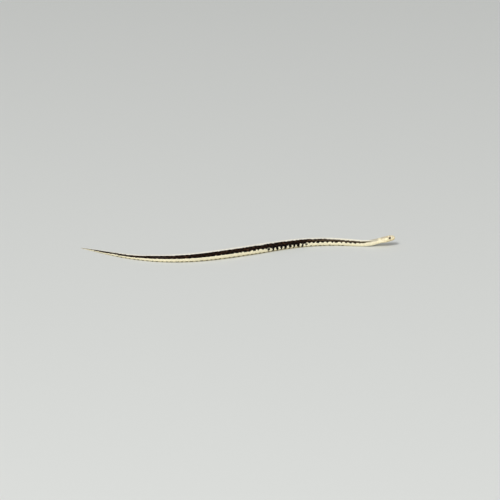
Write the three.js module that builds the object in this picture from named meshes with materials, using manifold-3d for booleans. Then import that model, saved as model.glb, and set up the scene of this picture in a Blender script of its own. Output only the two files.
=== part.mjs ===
// A young garter snake, life size, gliding with its head raised, as a still model.
// Millimetres, +Z up. The snout points along +X and the belly lies on Z = 0.
// Every piece is shaped on a straight snake first, with its snout at x = 0, y to its left and z up from the
// belly, and is then bent along the body line. Distances from the snout are called s, so x is -s.
import * as THREE from 'three';
import { mergeVertices } from 'three/addons/utils/BufferGeometryUtils.js';
import Module from 'manifold-3d';

const wasm = await Module();
wasm.setup();

// Whole animal
const LENGTH = 340;
const HEAD_END = 18.6;
const VENT = 257;
const GAP = 0.3;
const SNOUT = [157.95, 22.61];

// Body line: how far the heading swings, over which length, where the wave is flatter by the share SWING_DIP,
// and how the neck lifts the head
const HALF_WAVE = 170;
const WAVE_START = 63.4;
const SWING = 32.2;
const TAIL_SWING = 5;
const SWING_DIP = 0.17;
const DIP_AT = 160;
const DIP_REACH = 26;
const SWING_RISE = [16.4, 60];
const TAIL_RISE = [200, LENGTH];
const HEAD_TURN = -2;
const HEAD_LIFT = 15;
const LIFT_FADE = [16, 40];
const LINE_STEP = 0.25;

// Half width, height of the back and height of the underside, each by distance from the snout
const HALF_WIDTH = profile([
  [0, 1.05], [0.3, 1.6], [1.1, 2.2], [3, 2.85], [5, 3.35], [7.4, 3.85], [10.5, 4.35], [13.2, 4.55],
  [15.6, 4.25], [18, 3.65], [21, 3.2], [27, 3.1], [60, 3.9], [100, 4.5], [150, 4.95], [185, 4.85],
  [215, 4.35], [245, 3.65], [VENT, 3.3], [263, 2.95], [300, 1.85], [330, 0.8], [LENGTH, 0.22],
]);
const BACK = profile([
  [0, 3.15], [0.3, 3.65], [1.3, 4.65], [3, 5.2], [5, 5.5], [7.4, 5.6], [11, 5.58], [15, 5.65],
  [23, 5.75], [34, 6.25], [60, 7.5], [100, 8.7], [150, 9.4], [185, 9.25], [215, 8.3], [245, 6.95],
  [VENT, 6.2], [263, 5.5], [300, 3.45], [330, 1.5], [LENGTH, 0.42],
]);
const UNDERSIDE = profile([
  [0, 1.4], [0.5, 1.12], [0.9, 0.8], [1.6, 0.4], [3.5, 0.18], [6, 0.02], [8.5, 0], [11, 0.22], [13.5, 0.6],
  [16, 0.75], [18.5, 0.57], [22, 0.22], [28, 0], [LENGTH, 0],
]);

// Section: how high its widest place is, how broad the flat belly is and how square the crown is
const WIDEST = profile([[0, 0.4], [3, 0.36], [13, 0.36], [20, 0.45], [LENGTH, 0.47]]);
const BELLY_FLAT = profile([[0, 0.2], [10, 0.34], [20, 0.5], [LENGTH, 0.5]]);
const SQUARENESS = profile([[0, 2.1], [2.5, 2.5], [9, 2.5], [18, 2], [LENGTH, 2]]);

// Head
const EYE_AT = [4.9, 2.45, 3.9];
const EYE_SIZE = [1.36, 0.95, 1.36];
const EYE_TURN = [9, 8];
const EYE_DETAIL = 4;
const BROW = 0.3;
const NOSTRIL_AT = [1.4, 2.2, 3.2];
const NOSTRIL_RADIUS = 0.32;
const MOUTH_LINE = [[-1, 1.5], [1.5, 1.5], [4.2, 1.62], [7, 1.4], [10, 1.4], [12.6, 1.85], [14.6, 2.6]];
const THROAT_CUT = [[15.6, 1.5], [16.2, -2]];
const MOUTH_GAP = 0.3;
const LIP_RAISE = 0.1;
const SHIELD_RAISE = 0.16;
const SHIELD_GROOVE = 0.12;
const LIP_SHIELDS = 7;
const LIP_SHIELD_SPAN = [1.1, 13.6];
const LIP_SHIELD_HEIGHT = [1.15, 1.75];

// Belly scutes
const VENTRAL_START = 22;
const VENTRAL_PITCH = [1.28, 1.68];
const SUBCAUDAL_PITCH = [0.6, 1.55];
const SCUTE_STEP = 0.05;
const SCUTE_FLAT = 0.5;
const RISER = 0.06;

// Where one length of the body ends and the next begins
const BODY_ENDS = [
  ['neck', 45], ['body_1', 97], ['body_2', 150], ['body_3', 204], ['body_4', VENT], ['tail_1', 296],
  ['tail_2', LENGTH],
];

const SKIN = {
  head: { color: 0xe6dcbc, roughness: 0.45, metalness: 0 },
  jaw: { color: 0xf6ecc9, roughness: 0.45, metalness: 0 },
  eye: { color: 0x2b1c0e, roughness: 0.08, metalness: 0 },
  body: { color: 0x241a12, roughness: 0.5, metalness: 0 },
};

// Smooth curve through a few named stations that never overshoots them
function profile(points) {
  const slopes = points.slice(1).map((p, i) => (p[1] - points[i][1]) / (p[0] - points[i][0]));
  const tangents = points.map((p, i) => {
    const before = slopes[i - 1] ?? slopes[i];
    const after = slopes[i] ?? slopes[i - 1];
    return before * after <= 0 ? 0 : (2 * before * after) / (before + after);
  });
  return (s) => {
    const last = points.length - 2;
    const found = points.findIndex((p, i) => i <= last && s <= points[i + 1][0]);
    const i = found < 0 ? last : found;
    const h = points[i + 1][0] - points[i][0];
    const u = THREE.MathUtils.clamp((s - points[i][0]) / h, 0, 1);
    const start = (1 + 2 * u) * (1 - u) ** 2 * points[i][1] + u * (1 - u) ** 2 * h * tangents[i];
    return start + u * u * (3 - 2 * u) * points[i + 1][1] + u * u * (u - 1) * h * tangents[i + 1];
  };
}

// Heading and climb of the body line at distance s
function directionAt(s) {
  const rise = THREE.MathUtils.smoothstep(s, ...SWING_RISE);
  const tailRise = THREE.MathUtils.smoothstep(s, ...TAIL_RISE);
  const dip = SWING_DIP * Math.exp(-(((s - DIP_AT) / DIP_REACH) ** 2));
  const reach = SWING * rise * (1 - dip) + TAIL_SWING * tailRise;
  const swing = reach * Math.sin((Math.PI * (s - WAVE_START)) / HALF_WAVE);
  const turn = HEAD_TURN * (1 - rise);
  const climb = HEAD_LIFT * (1 - THREE.MathUtils.smoothstep(s, ...LIFT_FADE));
  return [THREE.MathUtils.degToRad(swing + turn), THREE.MathUtils.degToRad(climb)];
}

// The body line under the belly, added up in short steps from the snout, then set on the floor
const line = (() => {
  const points = [new THREE.Vector3(SNOUT[0], SNOUT[1], 0)];
  for (let i = 0; i < LENGTH / LINE_STEP; i += 1) {
    const [heading, climb] = directionAt((i + 0.5) * LINE_STEP);
    const step = new THREE.Vector3(Math.cos(heading), Math.sin(heading), 0).multiplyScalar(Math.cos(climb));
    step.z = Math.sin(climb);
    points.push(points[i].clone().addScaledVector(step, -LINE_STEP));
  }
  const floor = points.at(-1).z;
  points.forEach((p) => { p.z -= floor; });
  return points;
})();

// From the straight snake to the bent one
function bend(x, y, z) {
  const s = -x;
  const at = THREE.MathUtils.clamp(s / LINE_STEP, 0, line.length - 1);
  const i = Math.min(Math.floor(at), line.length - 2);
  const foot = line[i].clone().lerp(line[i + 1], at - i);
  const [heading, climb] = directionAt(s);
  const ahead = new THREE.Vector3(Math.cos(heading), Math.sin(heading), 0).multiplyScalar(Math.cos(climb));
  ahead.z = Math.sin(climb);
  const left = new THREE.Vector3(-Math.sin(heading), Math.cos(heading), 0);
  const up = ahead.clone().cross(left);
  return foot.addScaledVector(left, y).addScaledVector(up, z);
}

// A point of the straight snake's skin: t goes from 0 on the back over 1 on the belly to 2
function skinPoint(s, t, raise = 0) {
  const side = t > 1 ? -1 : 1;
  const round = t > 1 ? 2 - t : t;
  const width = HALF_WIDTH(s) + raise;
  const top = BACK(s) + raise;
  const bottom = UNDERSIDE(s) - raise;
  const widest = bottom + (top - bottom) * WIDEST(s);
  const flat = BELLY_FLAT(s) * width;
  if (round <= 0.5) {
    const angle = round * Math.PI;
    const power = 2 / SQUARENESS(s);
    const y = width * Math.sin(angle) ** power;
    return [-s, side * y, widest + (top - widest) * Math.max(Math.cos(angle), 0) ** power];
  }
  if (round < 0.8) {
    const angle = ((round - 0.5) / 0.3) * (Math.PI / 2);
    const y = flat + (width - flat) * Math.cos(angle);
    return [-s, side * y, widest - (widest - bottom) * Math.sin(angle)];
  }
  return [-s, (side * flat * (1 - round)) / 0.2, bottom];
}

// The mouth line's height at distance s
const mouthHeight = profile(MOUTH_LINE);

// Brow ridges and lips swell out of the head's plain section
function headPoint(s, t, raise = 0) {
  const [, y, z] = skinPoint(s, t, raise);
  const side = Math.sign(y);
  const round = t > 1 ? 2 - t : t;
  const brow = BROW * Math.exp(-(((s - EYE_AT[0]) / 1.9) ** 2) - ((round - 0.3) / 0.075) ** 2);
  const lipFade = THREE.MathUtils.smoothstep(s, 0, 1.5) * (1 - THREE.MathUtils.smoothstep(s, 13, 15.5));
  const above = z - mouthHeight(s);
  const lip = round > 0.25 && round < 0.8 ? LIP_RAISE * lipFade * Math.exp(-(((above - 0.5) / 0.6) ** 2)) : 0;
  return [-s, y + side * (brow + lip), z + brow * 0.3];
}

// Joins neighbouring columns of points, which may hold different numbers of them, and caps both ends
function closedLength(columns) {
  const vertices = [];
  const faces = [];
  const rows = columns.map((column) => column.map((p) => vertices.push(p) - 1));
  rows.forEach((here, c) => {
    const next = rows[(c + 1) % rows.length];
    let i = 0;
    let j = 0;
    while (i < here.length - 1 || j < next.length - 1) {
      const stepHere = i < here.length - 1 ? vertices[here[i + 1]][0] : -Infinity;
      const stepNext = j < next.length - 1 ? vertices[next[j + 1]][0] : -Infinity;
      if (stepHere >= stepNext) {
        faces.push([here[i], next[j], here[i + 1]]);
        i += 1;
      } else {
        faces.push([here[i], next[j], next[j + 1]]);
        j += 1;
      }
    }
  });
  const capAt = (ring, turned) => {
    const middle = [0, 1, 2].map((k) => ring.reduce((sum, v) => sum + vertices[v][k], 0) / ring.length);
    const centre = vertices.push(middle) - 1;
    ring.forEach((v, k) => {
      const after = ring[(k + 1) % ring.length];
      faces.push(turned ? [centre, after, v] : [centre, v, after]);
    });
  };
  capAt(rows.map((row) => row[0]), true);
  capAt(rows.map((row) => row.at(-1)), false);
  return { vertices, faces };
}

function toManifold({ vertices, faces }) {
  const mesh = new wasm.Mesh({
    numProp: 3,
    vertProperties: new Float32Array(vertices.flat()),
    triVerts: new Uint32Array(faces.flat()),
  });
  return new wasm.Manifold(mesh);
}

function geometryToManifold(geometry) {
  geometry.deleteAttribute('normal');
  geometry.deleteAttribute('uv');
  const merged = mergeVertices(geometry, 1e-4);
  const mesh = new wasm.Mesh({
    numProp: 3,
    vertProperties: new Float32Array(merged.attributes.position.array),
    triVerts: new Uint32Array(merged.index.array),
  });
  return new wasm.Manifold(mesh);
}

function fromManifold(solid) {
  const { numProp, vertProperties, triVerts } = solid.getMesh();
  const vertices = [];
  for (let i = 0; i < vertProperties.length; i += numProp) {
    vertices.push([vertProperties[i], vertProperties[i + 1], vertProperties[i + 2]]);
  }
  const faces = [];
  for (let i = 0; i < triVerts.length; i += 3) {
    faces.push([triVerts[i], triVerts[i + 1], triVerts[i + 2]]);
  }
  return { vertices, faces };
}

const largest = (solids) => solids.reduce((a, b) => (b.volume() > a.volume() ? b : a));

// Bends a straight solid and sets it in the scene at the place where its front end meets the line
function node(name, { vertices, faces }, skin) {
  const anchor = bend(Math.max(...vertices.map((v) => v[0])), 0, 0);
  const bent = vertices.flatMap((v) => bend(...v).sub(anchor).toArray());
  const geometry = new THREE.BufferGeometry();
  geometry.setAttribute('position', new THREE.Float32BufferAttribute(bent, 3));
  geometry.setIndex(faces.flat());
  geometry.computeVertexNormals();
  const mesh = new THREE.Mesh(geometry, new THREE.MeshStandardMaterial(skin));
  mesh.name = name;
  mesh.position.copy(anchor);
  return mesh;
}

// Head and lower jaw

const HEAD_RINGS = [
  0, 0.3, 0.7, 1.3, 2, 2.8, 3.6, 4.3, 4.9, 5.5, 6.1, 6.7, 7.3, 8, 9, 10, 11, 12, 13, 14, 15, 16, 17.2,
  HEAD_END - GAP / 2,
];
const HEAD_COLUMNS = [0, 0.08, 0.15, 0.21, 0.26, 0.3, 0.34, 0.39, 0.44, 0.5, 0.57, 0.64, 0.71, 0.8, 0.9, 1];

function headShell(raise, rings) {
  const around = [...HEAD_COLUMNS, ...HEAD_COLUMNS.slice(1, -1).reverse().map((t) => 2 - t)];
  return toManifold(closedLength(around.map((t) => rings.map((s) => headPoint(s, t, raise)))));
}

// A flat outline in the plane of s and z, or of s and y, made into a prism
function prism(outline, from, to, upright) {
  const shape = new THREE.Shape(outline.map(([s, across]) => new THREE.Vector2(-s, across)));
  const geometry = new THREE.ExtrudeGeometry(shape, { depth: to - from, bevelEnabled: false });
  if (upright) {
    geometry.translate(0, 0, from);
  } else {
    geometry.rotateX(Math.PI / 2);
    geometry.translate(0, to, 0);
  }
  return geometryToManifold(geometry);
}

// The slit of the closed mouth, with the cut through the throat behind the jaw
function mouthSlit() {
  const along = [];
  for (let s = MOUTH_LINE[0][0]; s < MOUTH_LINE.at(-1)[0]; s += 1.3) {
    along.push([s, mouthHeight(s)]);
  }
  along.push(MOUTH_LINE.at(-1), ...THROAT_CUT);
  const normalAt = (i) => {
    const [before, after] = [along[Math.max(i - 1, 0)], along[Math.min(i + 1, along.length - 1)]];
    return new THREE.Vector2(before[1] - after[1], after[0] - before[0]).normalize();
  };
  const upper = along.map((p, i) => [
    p[0] + (normalAt(i).x * MOUTH_GAP) / 2,
    p[1] + (normalAt(i).y * MOUTH_GAP) / 2,
  ]);
  const lower = along.map((p, i) => [
    p[0] - (normalAt(i).x * MOUTH_GAP) / 2,
    p[1] - (normalAt(i).y * MOUTH_GAP) / 2,
  ]);
  return prism([...lower, ...upper.reverse()], -10, 10, false);
}

// The large shields of the crown, from the snout back: outlines of the left one, or of half of the middle one
const g = SHIELD_GROOVE / 2;
const CROWN_SHIELDS = {
  internasal: [[0.8, g], [0.85, 1.05], [1.55, 1.7], [2, 1.2], [2.05, g]],
  prefrontal: [[2.17, g], [2.12, 1.25], [1.72, 1.85], [2.9, 2.45], [3.35, 2.05], [3.25, 1.1], [3.4, g]],
  supraocular: [
    [3.55, 1.18], [3.55, 2.05], [3.95, 2.4], [5, 2.5], [6.2, 2.62], [7, 2.5], [6.8, 1.1], [4.95, 1.04],
  ],
  parietal: [
    [7.35, g], [6.9, 1.1], [7.15, 2.6], [8.1, 2.8], [10.1, 2.5], [11.9, 1.5], [12.2, 0.75], [11.5, g],
  ],
};
const FRONTAL = [[3.52, 0], [3.38, 1.05], [4.95, 0.92], [6.75, 0.98], [7.25, 0]];

function crownShields(outer) {
  const outlines = Object.values(CROWN_SHIELDS).flatMap((half) => [half, half.map(([s, y]) => [s, -y])]);
  outlines.push([...FRONTAL, ...FRONTAL.slice(1, -1).reverse().map(([s, y]) => [s, -y])]);
  return outlines.map((outline) => outer.intersect(prism(outline, 3, 9, true)));
}

// The row of shields along each upper lip
function lipShields(outer) {
  const [from, to] = LIP_SHIELD_SPAN;
  return Array.from({ length: LIP_SHIELDS }, (_, i) => {
    const a = THREE.MathUtils.lerp(from, to, (i / LIP_SHIELDS) ** 0.9) + g;
    const b = THREE.MathUtils.lerp(from, to, ((i + 1) / LIP_SHIELDS) ** 0.9) - g;
    const rise = THREE.MathUtils.lerp(...LIP_SHIELD_HEIGHT, i / LIP_SHIELDS);
    const outline = [
      [a, mouthHeight(a) + MOUTH_GAP], [b, mouthHeight(b) + MOUTH_GAP],
      [b, mouthHeight(b) + rise], [a, mouthHeight(a) + rise],
    ];
    return outer.intersect(prism(outline, -10, 10, false));
  });
}

// An egg on one side of the head, tipped to look up and turned to look ahead by these angles
function ball([s, y, z], [along, across, high], side, detail, [up, ahead] = [0, 0]) {
  const geometry = new THREE.IcosahedronGeometry(1, detail);
  geometry.scale(along, across, high);
  geometry.rotateX(THREE.MathUtils.degToRad(up) * side);
  geometry.rotateZ(-THREE.MathUtils.degToRad(ahead) * side);
  geometry.translate(-s, y * side, z);
  return geometryToManifold(geometry);
}

function headAndJaw() {
  const shell = headShell(0, HEAD_RINGS);
  const parted = shell.subtract(mouthSlit()).decompose();
  const jaw = parted.reduce((a, b) => (b.boundingBox().max[2] < a.boundingBox().max[2] ? b : a));
  let head = largest(parted);
  const crownRings = HEAD_RINGS.filter((s) => s > 0.5 && s < 15);
  const outer = headShell(SHIELD_RAISE, crownRings);
  const lipOuter = headShell(LIP_RAISE, crownRings);
  [...crownShields(outer), ...lipShields(lipOuter)].forEach((shield) => { head = head.add(shield); });
  [1, -1].forEach((side) => {
    const socket = EYE_SIZE.map((r) => r + GAP);
    head = head.subtract(ball(EYE_AT, socket, side, EYE_DETAIL - 1, EYE_TURN));
    const nostril = [NOSTRIL_RADIUS * 1.3, NOSTRIL_RADIUS * 1.6, NOSTRIL_RADIUS];
    head = head.subtract(ball(NOSTRIL_AT, nostril, side, 1));
  });
  return { head: largest(head.decompose()), jaw };
}

const { head, jaw } = headAndJaw();

// Body and tail with their belly scutes

// The front edge of every scute, from the throat to the tip of the tail
const scuteEdges = (() => {
  const edges = [VENTRAL_START];
  while (edges.at(-1) < LENGTH - 4) {
    const s = edges.at(-1);
    const share = HALF_WIDTH(s) / HALF_WIDTH(s > VENT ? VENT : 160);
    const pitch = THREE.MathUtils.lerp(...(s > VENT ? SUBCAUDAL_PITCH : VENTRAL_PITCH), share);
    edges.push(s + pitch);
  }
  return edges;
})();

const nearestEdge = (s) => scuteEdges.reduce((a, b) => (Math.abs(b - s) < Math.abs(a - s) ? b : a));

// Columns of the back and flanks, then the edge of the scutes and the edge of the flat belly
const BACK_COLUMNS = [0, 0.12, 0.24, 0.36, 0.47, 0.58, 0.66];
const SCUTE_SIDE = 0.72;
const SCUTE_FLOOR = 0.8;

function bodyLength(from, to) {
  const edges = scuteEdges.filter((s) => s > from + 0.3 && s < to - 0.3);
  const whole = [from, ...edges, to];
  const coarse = [from, ...edges.filter((_, i) => i % 2 === 1), to];
  const riser = (s) => SCUTE_STEP * HALF_WIDTH(s);
  const tucked = (s, t) => {
    const [, y, z] = skinPoint(s, t);
    return [-s, y * (1 - 0.4 * SCUTE_STEP), z + riser(s)];
  };
  // Each scute rises from under the one before it, then lies flat up to its free rear edge
  const scuteColumn = (t, shift) => {
    const column = [tucked(from, t)];
    whole.slice(0, -1).forEach((front, i) => {
      const pitch = whole[i + 1] - front;
      const rear = Math.min(whole[i + 1] + shift * pitch, to);
      const start = i === 0 ? front : front + shift * pitch;
      column.push(skinPoint(start + SCUTE_FLAT * (rear - start), t));
      if (rear < to - 2 * RISER) {
        column.push(skinPoint(rear, t), tucked(rear + RISER, t));
      } else if (i === whole.length - 2) {
        column.push(skinPoint(to, t));
      }
    });
    return column;
  };
  const tail = from > VENT - 1;
  const left = BACK_COLUMNS.map((t) => coarse.map((s) => skinPoint(s, t)));
  left.push(whole.map((s) => skinPoint(s, SCUTE_SIDE)), scuteColumn(SCUTE_FLOOR, 0));
  // Under the tail the scutes are paired and the two sides take turns, with a groove between them
  const middle = tail
    ? [scuteColumn(0.97, 0), whole.map((s) => tucked(s, 1)), scuteColumn(1.03, 0.5)]
    : [];
  const right = [
    scuteColumn(2 - SCUTE_FLOOR, tail ? 0.5 : 0),
    whole.map((s) => skinPoint(s, 2 - SCUTE_SIDE)),
    ...BACK_COLUMNS.slice(1).reverse().map((t) => coarse.map((s) => skinPoint(s, 2 - t))),
  ];
  return closedLength([...left, ...middle, ...right]);
}

const snake = new THREE.Group();
snake.add(node('head', fromManifold(head), SKIN.head));
snake.add(node('lower_jaw', fromManifold(jaw), SKIN.jaw));
[['eye_left', 1], ['eye_right', -1]].forEach(([name, side]) => {
  const eye = ball(EYE_AT, EYE_SIZE, side, EYE_DETAIL, EYE_TURN);
  snake.add(node(name, fromManifold(eye), SKIN.eye));
});

let front = HEAD_END;
BODY_ENDS.forEach(([name, end]) => {
  const last = end === LENGTH;
  const rear = last ? end : nearestEdge(end);
  snake.add(node(name, bodyLength(front + GAP / 2, last ? rear : rear - GAP / 2), SKIN.body));
  front = rear;
});

export default snake;
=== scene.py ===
import math

import bpy
import numpy as np
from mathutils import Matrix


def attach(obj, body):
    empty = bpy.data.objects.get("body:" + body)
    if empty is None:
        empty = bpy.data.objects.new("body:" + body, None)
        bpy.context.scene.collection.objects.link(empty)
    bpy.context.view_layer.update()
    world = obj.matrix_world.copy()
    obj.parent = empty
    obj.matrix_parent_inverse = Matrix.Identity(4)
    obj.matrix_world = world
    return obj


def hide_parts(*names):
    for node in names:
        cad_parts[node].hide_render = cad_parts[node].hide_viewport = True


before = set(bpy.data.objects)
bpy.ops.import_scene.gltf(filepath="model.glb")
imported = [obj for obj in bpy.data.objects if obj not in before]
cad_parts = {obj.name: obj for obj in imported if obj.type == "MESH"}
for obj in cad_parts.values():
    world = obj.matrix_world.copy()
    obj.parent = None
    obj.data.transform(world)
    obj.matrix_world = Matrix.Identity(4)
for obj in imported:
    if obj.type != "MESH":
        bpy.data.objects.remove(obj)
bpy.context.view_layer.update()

# Skin
# One soft, elastic skin runs from the snout to the tip of the tail without a seam. It is drawn tight over the
# flesh and folded in at the mouth, the eyes and the nostrils, and all shields and scales grow from it.

# The snake is shaped straight, in millimetres: s is the distance from the snout and t the turn around the
# body, 0 on the back, 1 on the belly and 2 on the back again. Each piece is then bent along the body line.
MM = 0.001
LENGTH = 340
VENT = 257
SKIN_END = 338.1
SCALED_EDGE = 0.72

# The body line is one wave, in degrees, flatter around DIP_AT, with the head raised and turned a little aside
SNOUT = (157.95, 22.61)
HALF_WAVE = 170
WAVE_START = 63.4
SWING = 32.2
SWING_RISE = (16.4, 60)
SWING_DIP = 0.17
DIP_AT = 160
DIP_REACH = 26
TAIL_SWING = 5
TAIL_RISE = (200, LENGTH)
HEAD_TURN = -2
HEAD_LIFT = 15
LIFT_FADE = (16, 40)
LINE_STEP = 0.25

# Places on the head by s and height, the eye's with its distance from the middle between them
EYE_AT = (4.9, 2.45, 3.9)
EYE_SIZE = (1.36, 0.95, 1.36)
NOSTRIL_AT = (1.42, 3.2)
NOSTRIL_RADIUS = 0.3

# The skin is widest at WIDEST_TURN and lies flat from FLAT_TURN to the middle of the belly
WIDEST_TURN = 0.5
FLAT_TURN = 0.8
BROW_TURN = 0.3
BROW_SWELL = 0.3
BROW_LIFT = 0.3
BROW_LONG = 1.9
BROW_BROAD = 0.075
LIP_SWELL = 0.1
LIP_OFF_MOUTH = 0.5
LIP_HIGH = 0.6
LIP_TOP_TURN = 0.25
LIP_RISE = (0, 1.5)
LIP_FADE = (13, 15.5)

# Rings of the skin's mesh, as their first and last s and their spacing, and columns around it
SKIN_RINGS = ((0.2, 21, 0.22), (21, 60, 0.6), (60, 300, 0.8), (300, SKIN_END, 0.5))
SKIN_COLUMNS = 96
MOUTH_COLUMN = 30
MOUTH_COLUMN_FADE = (13.6, 17)
LIP_EDGE_GAP = 0.013

# Depths of the skin under the scales' tops and of its folds, where the folds fade out, and the painted shade
# that darkens the skin between shields and scales, deepest as painted shadow in the mouth slit and nostrils
SKIN_DEPTH = 0.2
DEEPEST_SHARE = 0.3
MOUTH_DEPTH = 0.4
MOUTH_HIGH = 0.13
MOUTH_FADE = (13.8, 14.6)
SOCKET_DEPTH = 0.45
SOCKET_FADE = (0.75, 1.08)
SOCKET_TURNS = (0.12, 0.6)
NOSTRIL_DEPTH = 0.3
NOSTRIL_FADE = (0.55, 1.15)
SKIN_SHADE = 0.45
FOLD_SHADE = 1.7
EVEN_CHANCE = 0.5


def ease(value, start, end):
    """Smooth step from 0 at start to 1 at end"""
    share = np.clip((np.asarray(value, float) - start) / (end - start), 0, 1)
    return share * share * (3 - 2 * share)


def profile(stations):
    """Smooth curve through a few stations that never overshoots them"""
    at, values = np.array(stations, float).T
    slopes = np.diff(values) / np.diff(at)
    before = np.append(slopes[0], slopes)
    after = np.append(slopes, slopes[-1])
    total = np.where(before + after == 0, 1, before + after)
    tangents = np.where(before * after <= 0, 0, 2 * before * after / total)

    def curve(s):
        i = np.clip(np.searchsorted(at, s) - 1, 0, len(at) - 2)
        span = at[i + 1] - at[i]
        u = np.clip((s - at[i]) / span, 0, 1)
        start = (1 + 2 * u) * (1 - u) ** 2 * values[i] + u * (1 - u) ** 2 * span * tangents[i]
        return start + u * u * (3 - 2 * u) * values[i + 1] + u * u * (u - 1) * span * tangents[i + 1]

    return curve


half_width = profile([
    (0, 1.05), (0.3, 1.6), (1.1, 2.2), (3, 2.85), (5, 3.35), (7.4, 3.85), (10.5, 4.35), (13.2, 4.55),
    (15.6, 4.25), (18, 3.65), (21, 3.2), (27, 3.1), (60, 3.9), (100, 4.5), (150, 4.95), (185, 4.85),
    (215, 4.35), (245, 3.65), (VENT, 3.3), (263, 2.95), (300, 1.85), (330, 0.8), (LENGTH, 0.22),
])
back = profile([
    (0, 3.15), (0.3, 3.65), (1.3, 4.65), (3, 5.2), (5, 5.5), (7.4, 5.6), (11, 5.58), (15, 5.65),
    (23, 5.75), (34, 6.25), (60, 7.5), (100, 8.7), (150, 9.4), (185, 9.25), (215, 8.3), (245, 6.95),
    (VENT, 6.2), (263, 5.5), (300, 3.45), (330, 1.5), (LENGTH, 0.42),
])
underside = profile([
    (0, 1.4), (0.5, 1.12), (0.9, 0.8), (1.6, 0.4), (3.5, 0.18), (6, 0.02), (8.5, 0), (11, 0.22),
    (13.5, 0.6), (16, 0.75), (18.5, 0.57), (22, 0.22), (28, 0), (LENGTH, 0),
])
widest_share = profile([(0, 0.4), (3, 0.36), (13, 0.36), (20, 0.45), (LENGTH, 0.47)])
belly_flat = profile([(0, 0.2), (10, 0.34), (20, 0.5), (LENGTH, 0.5)])
squareness = profile([(0, 2.1), (2.5, 2.5), (9, 2.5), (18, 2), (LENGTH, 2)])
mouth_line = profile([(-1, 1.5), (1.5, 1.5), (4.2, 1.62), (7, 1.4), (10, 1.4), (12.6, 1.85), (14.6, 2.6)])


def directions(s):
    """Heading and climb of the body line, in radians"""
    rise = ease(s, *SWING_RISE)
    dip = SWING_DIP * np.exp(-((s - DIP_AT) / DIP_REACH) ** 2)
    reach = SWING * rise * (1 - dip) + TAIL_SWING * ease(s, *TAIL_RISE)
    swing = reach * np.sin(np.pi * (s - WAVE_START) / HALF_WAVE)
    climb = HEAD_LIFT * (1 - ease(s, *LIFT_FADE))
    return np.radians(swing + HEAD_TURN * (1 - rise)), np.radians(climb)


def ahead_of(heading, climb):
    """Unit vectors along the body line, towards the snout"""
    level = np.cos(climb)
    return np.stack([np.cos(heading) * level, np.sin(heading) * level, np.sin(climb)], -1)


line_s = np.arange(0, LENGTH + LINE_STEP, LINE_STEP)
line_steps = ahead_of(*directions(line_s[:-1] + LINE_STEP / 2)) * LINE_STEP
body_line = np.vstack([np.zeros(3), -np.cumsum(line_steps, axis=0)])
body_line += (*SNOUT, -body_line[-1, 2])


def bend(s, y, z):
    """From the straight snake, in millimetres, to its place in the frame, in metres"""
    s, y, z = np.broadcast_arrays(s, y, z)
    foot = np.stack([np.interp(s, line_s, body_line[:, k]) for k in range(3)], -1)
    heading, climb = directions(s)
    ahead = ahead_of(heading, climb)
    left = np.stack([-np.sin(heading), np.cos(heading), 0 * heading], -1)
    up = np.cross(ahead, left)
    return (foot + left * y[..., None] + up * z[..., None]) * MM


def section(s, t, raised=0):
    """Across and up on the straight snake's skin, with the brow ridges and the lips"""
    s, t, raised = np.broadcast_arrays(s, t, raised)
    t = np.mod(t, 2)
    side = np.where(t > 1, -1, 1)
    turn = np.where(t > 1, 2 - t, t)
    width = half_width(s) + raised
    top = back(s) + raised
    bottom = underside(s) - raised
    widest = bottom + (top - bottom) * widest_share(s)
    flat = belly_flat(s) * width
    power = 2 / squareness(s)
    upper = np.clip(turn, 0, WIDEST_TURN) * np.pi
    lower = (np.clip(turn, WIDEST_TURN, FLAT_TURN) - WIDEST_TURN) / (FLAT_TURN - WIDEST_TURN) * np.pi / 2
    y = np.where(turn < WIDEST_TURN, width * np.sin(upper) ** power, flat + (width - flat) * np.cos(lower))
    y = np.where(turn < FLAT_TURN, y, flat * (1 - turn) / (1 - FLAT_TURN))
    crown = widest + (top - widest) * np.clip(np.cos(upper), 0, 1) ** power
    z = np.where(turn < WIDEST_TURN, crown, widest - (widest - bottom) * np.sin(lower))
    off_brow = ((s - EYE_AT[0]) / BROW_LONG) ** 2 + ((turn - BROW_TURN) / BROW_BROAD) ** 2
    brow = BROW_SWELL * np.exp(-off_brow)
    fade = ease(s, *LIP_RISE) * (1 - ease(s, *LIP_FADE))
    lip = LIP_SWELL * fade * np.exp(-((z - mouth_line(s) - LIP_OFF_MOUTH) / LIP_HIGH) ** 2)
    lip = np.where((turn > LIP_TOP_TURN) & (turn < FLAT_TURN), lip, 0)
    return side * (y + brow + lip), z + brow * BROW_LIFT


def turn_at_height(s, z):
    """The turn t on the left side at a height"""
    bottom = underside(s)
    widest = bottom + (back(s) - bottom) * widest_share(s)
    upper = np.clip((z - widest) / (back(s) - widest), 0, 1) ** (squareness(s) / 2)
    lower = np.clip((widest - z) / (widest - bottom), 0, 1)
    below = WIDEST_TURN + (FLAT_TURN - WIDEST_TURN) * np.arcsin(lower) / (np.pi / 2)
    return np.where(z > widest, np.arccos(upper) / np.pi, below)


def skin_depth(s):
    """How deep the skin lies under the scales' tops, which is less where the tail is thin"""
    return np.minimum(SKIN_DEPTH, DEEPEST_SHARE * half_width(s))


def get_points(piece):
    points = np.empty(len(piece.data.vertices) * 3)
    piece.data.vertices.foreach_get("co", points)
    return points.reshape(-1, 3)


def set_points(piece, points):
    piece.data.vertices.foreach_set("co", np.ascontiguousarray(points, np.float32).ravel())
    piece.data.update()


def set_lie(piece, s, t, own, shade):
    """Writes what the markings read at each point: s, share of the flank and own chance, and its painted
    shade
    """
    flank = np.minimum(t % 2, 2 - t % 2) / SCALED_EDGE
    lie = piece.data.attributes.new("lie", "FLOAT_VECTOR", "POINT")
    lies = np.stack(np.broadcast_arrays(s, flank, own), -1)
    lie.data.foreach_set("vector", np.ascontiguousarray(lies, np.float32).ravel())
    shading = piece.data.attributes.new("shade", "FLOAT", "POINT")
    shades = np.ascontiguousarray(np.broadcast_to(shade, np.shape(s)), np.float32)
    shading.data.foreach_set("value", shades.ravel())


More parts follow.
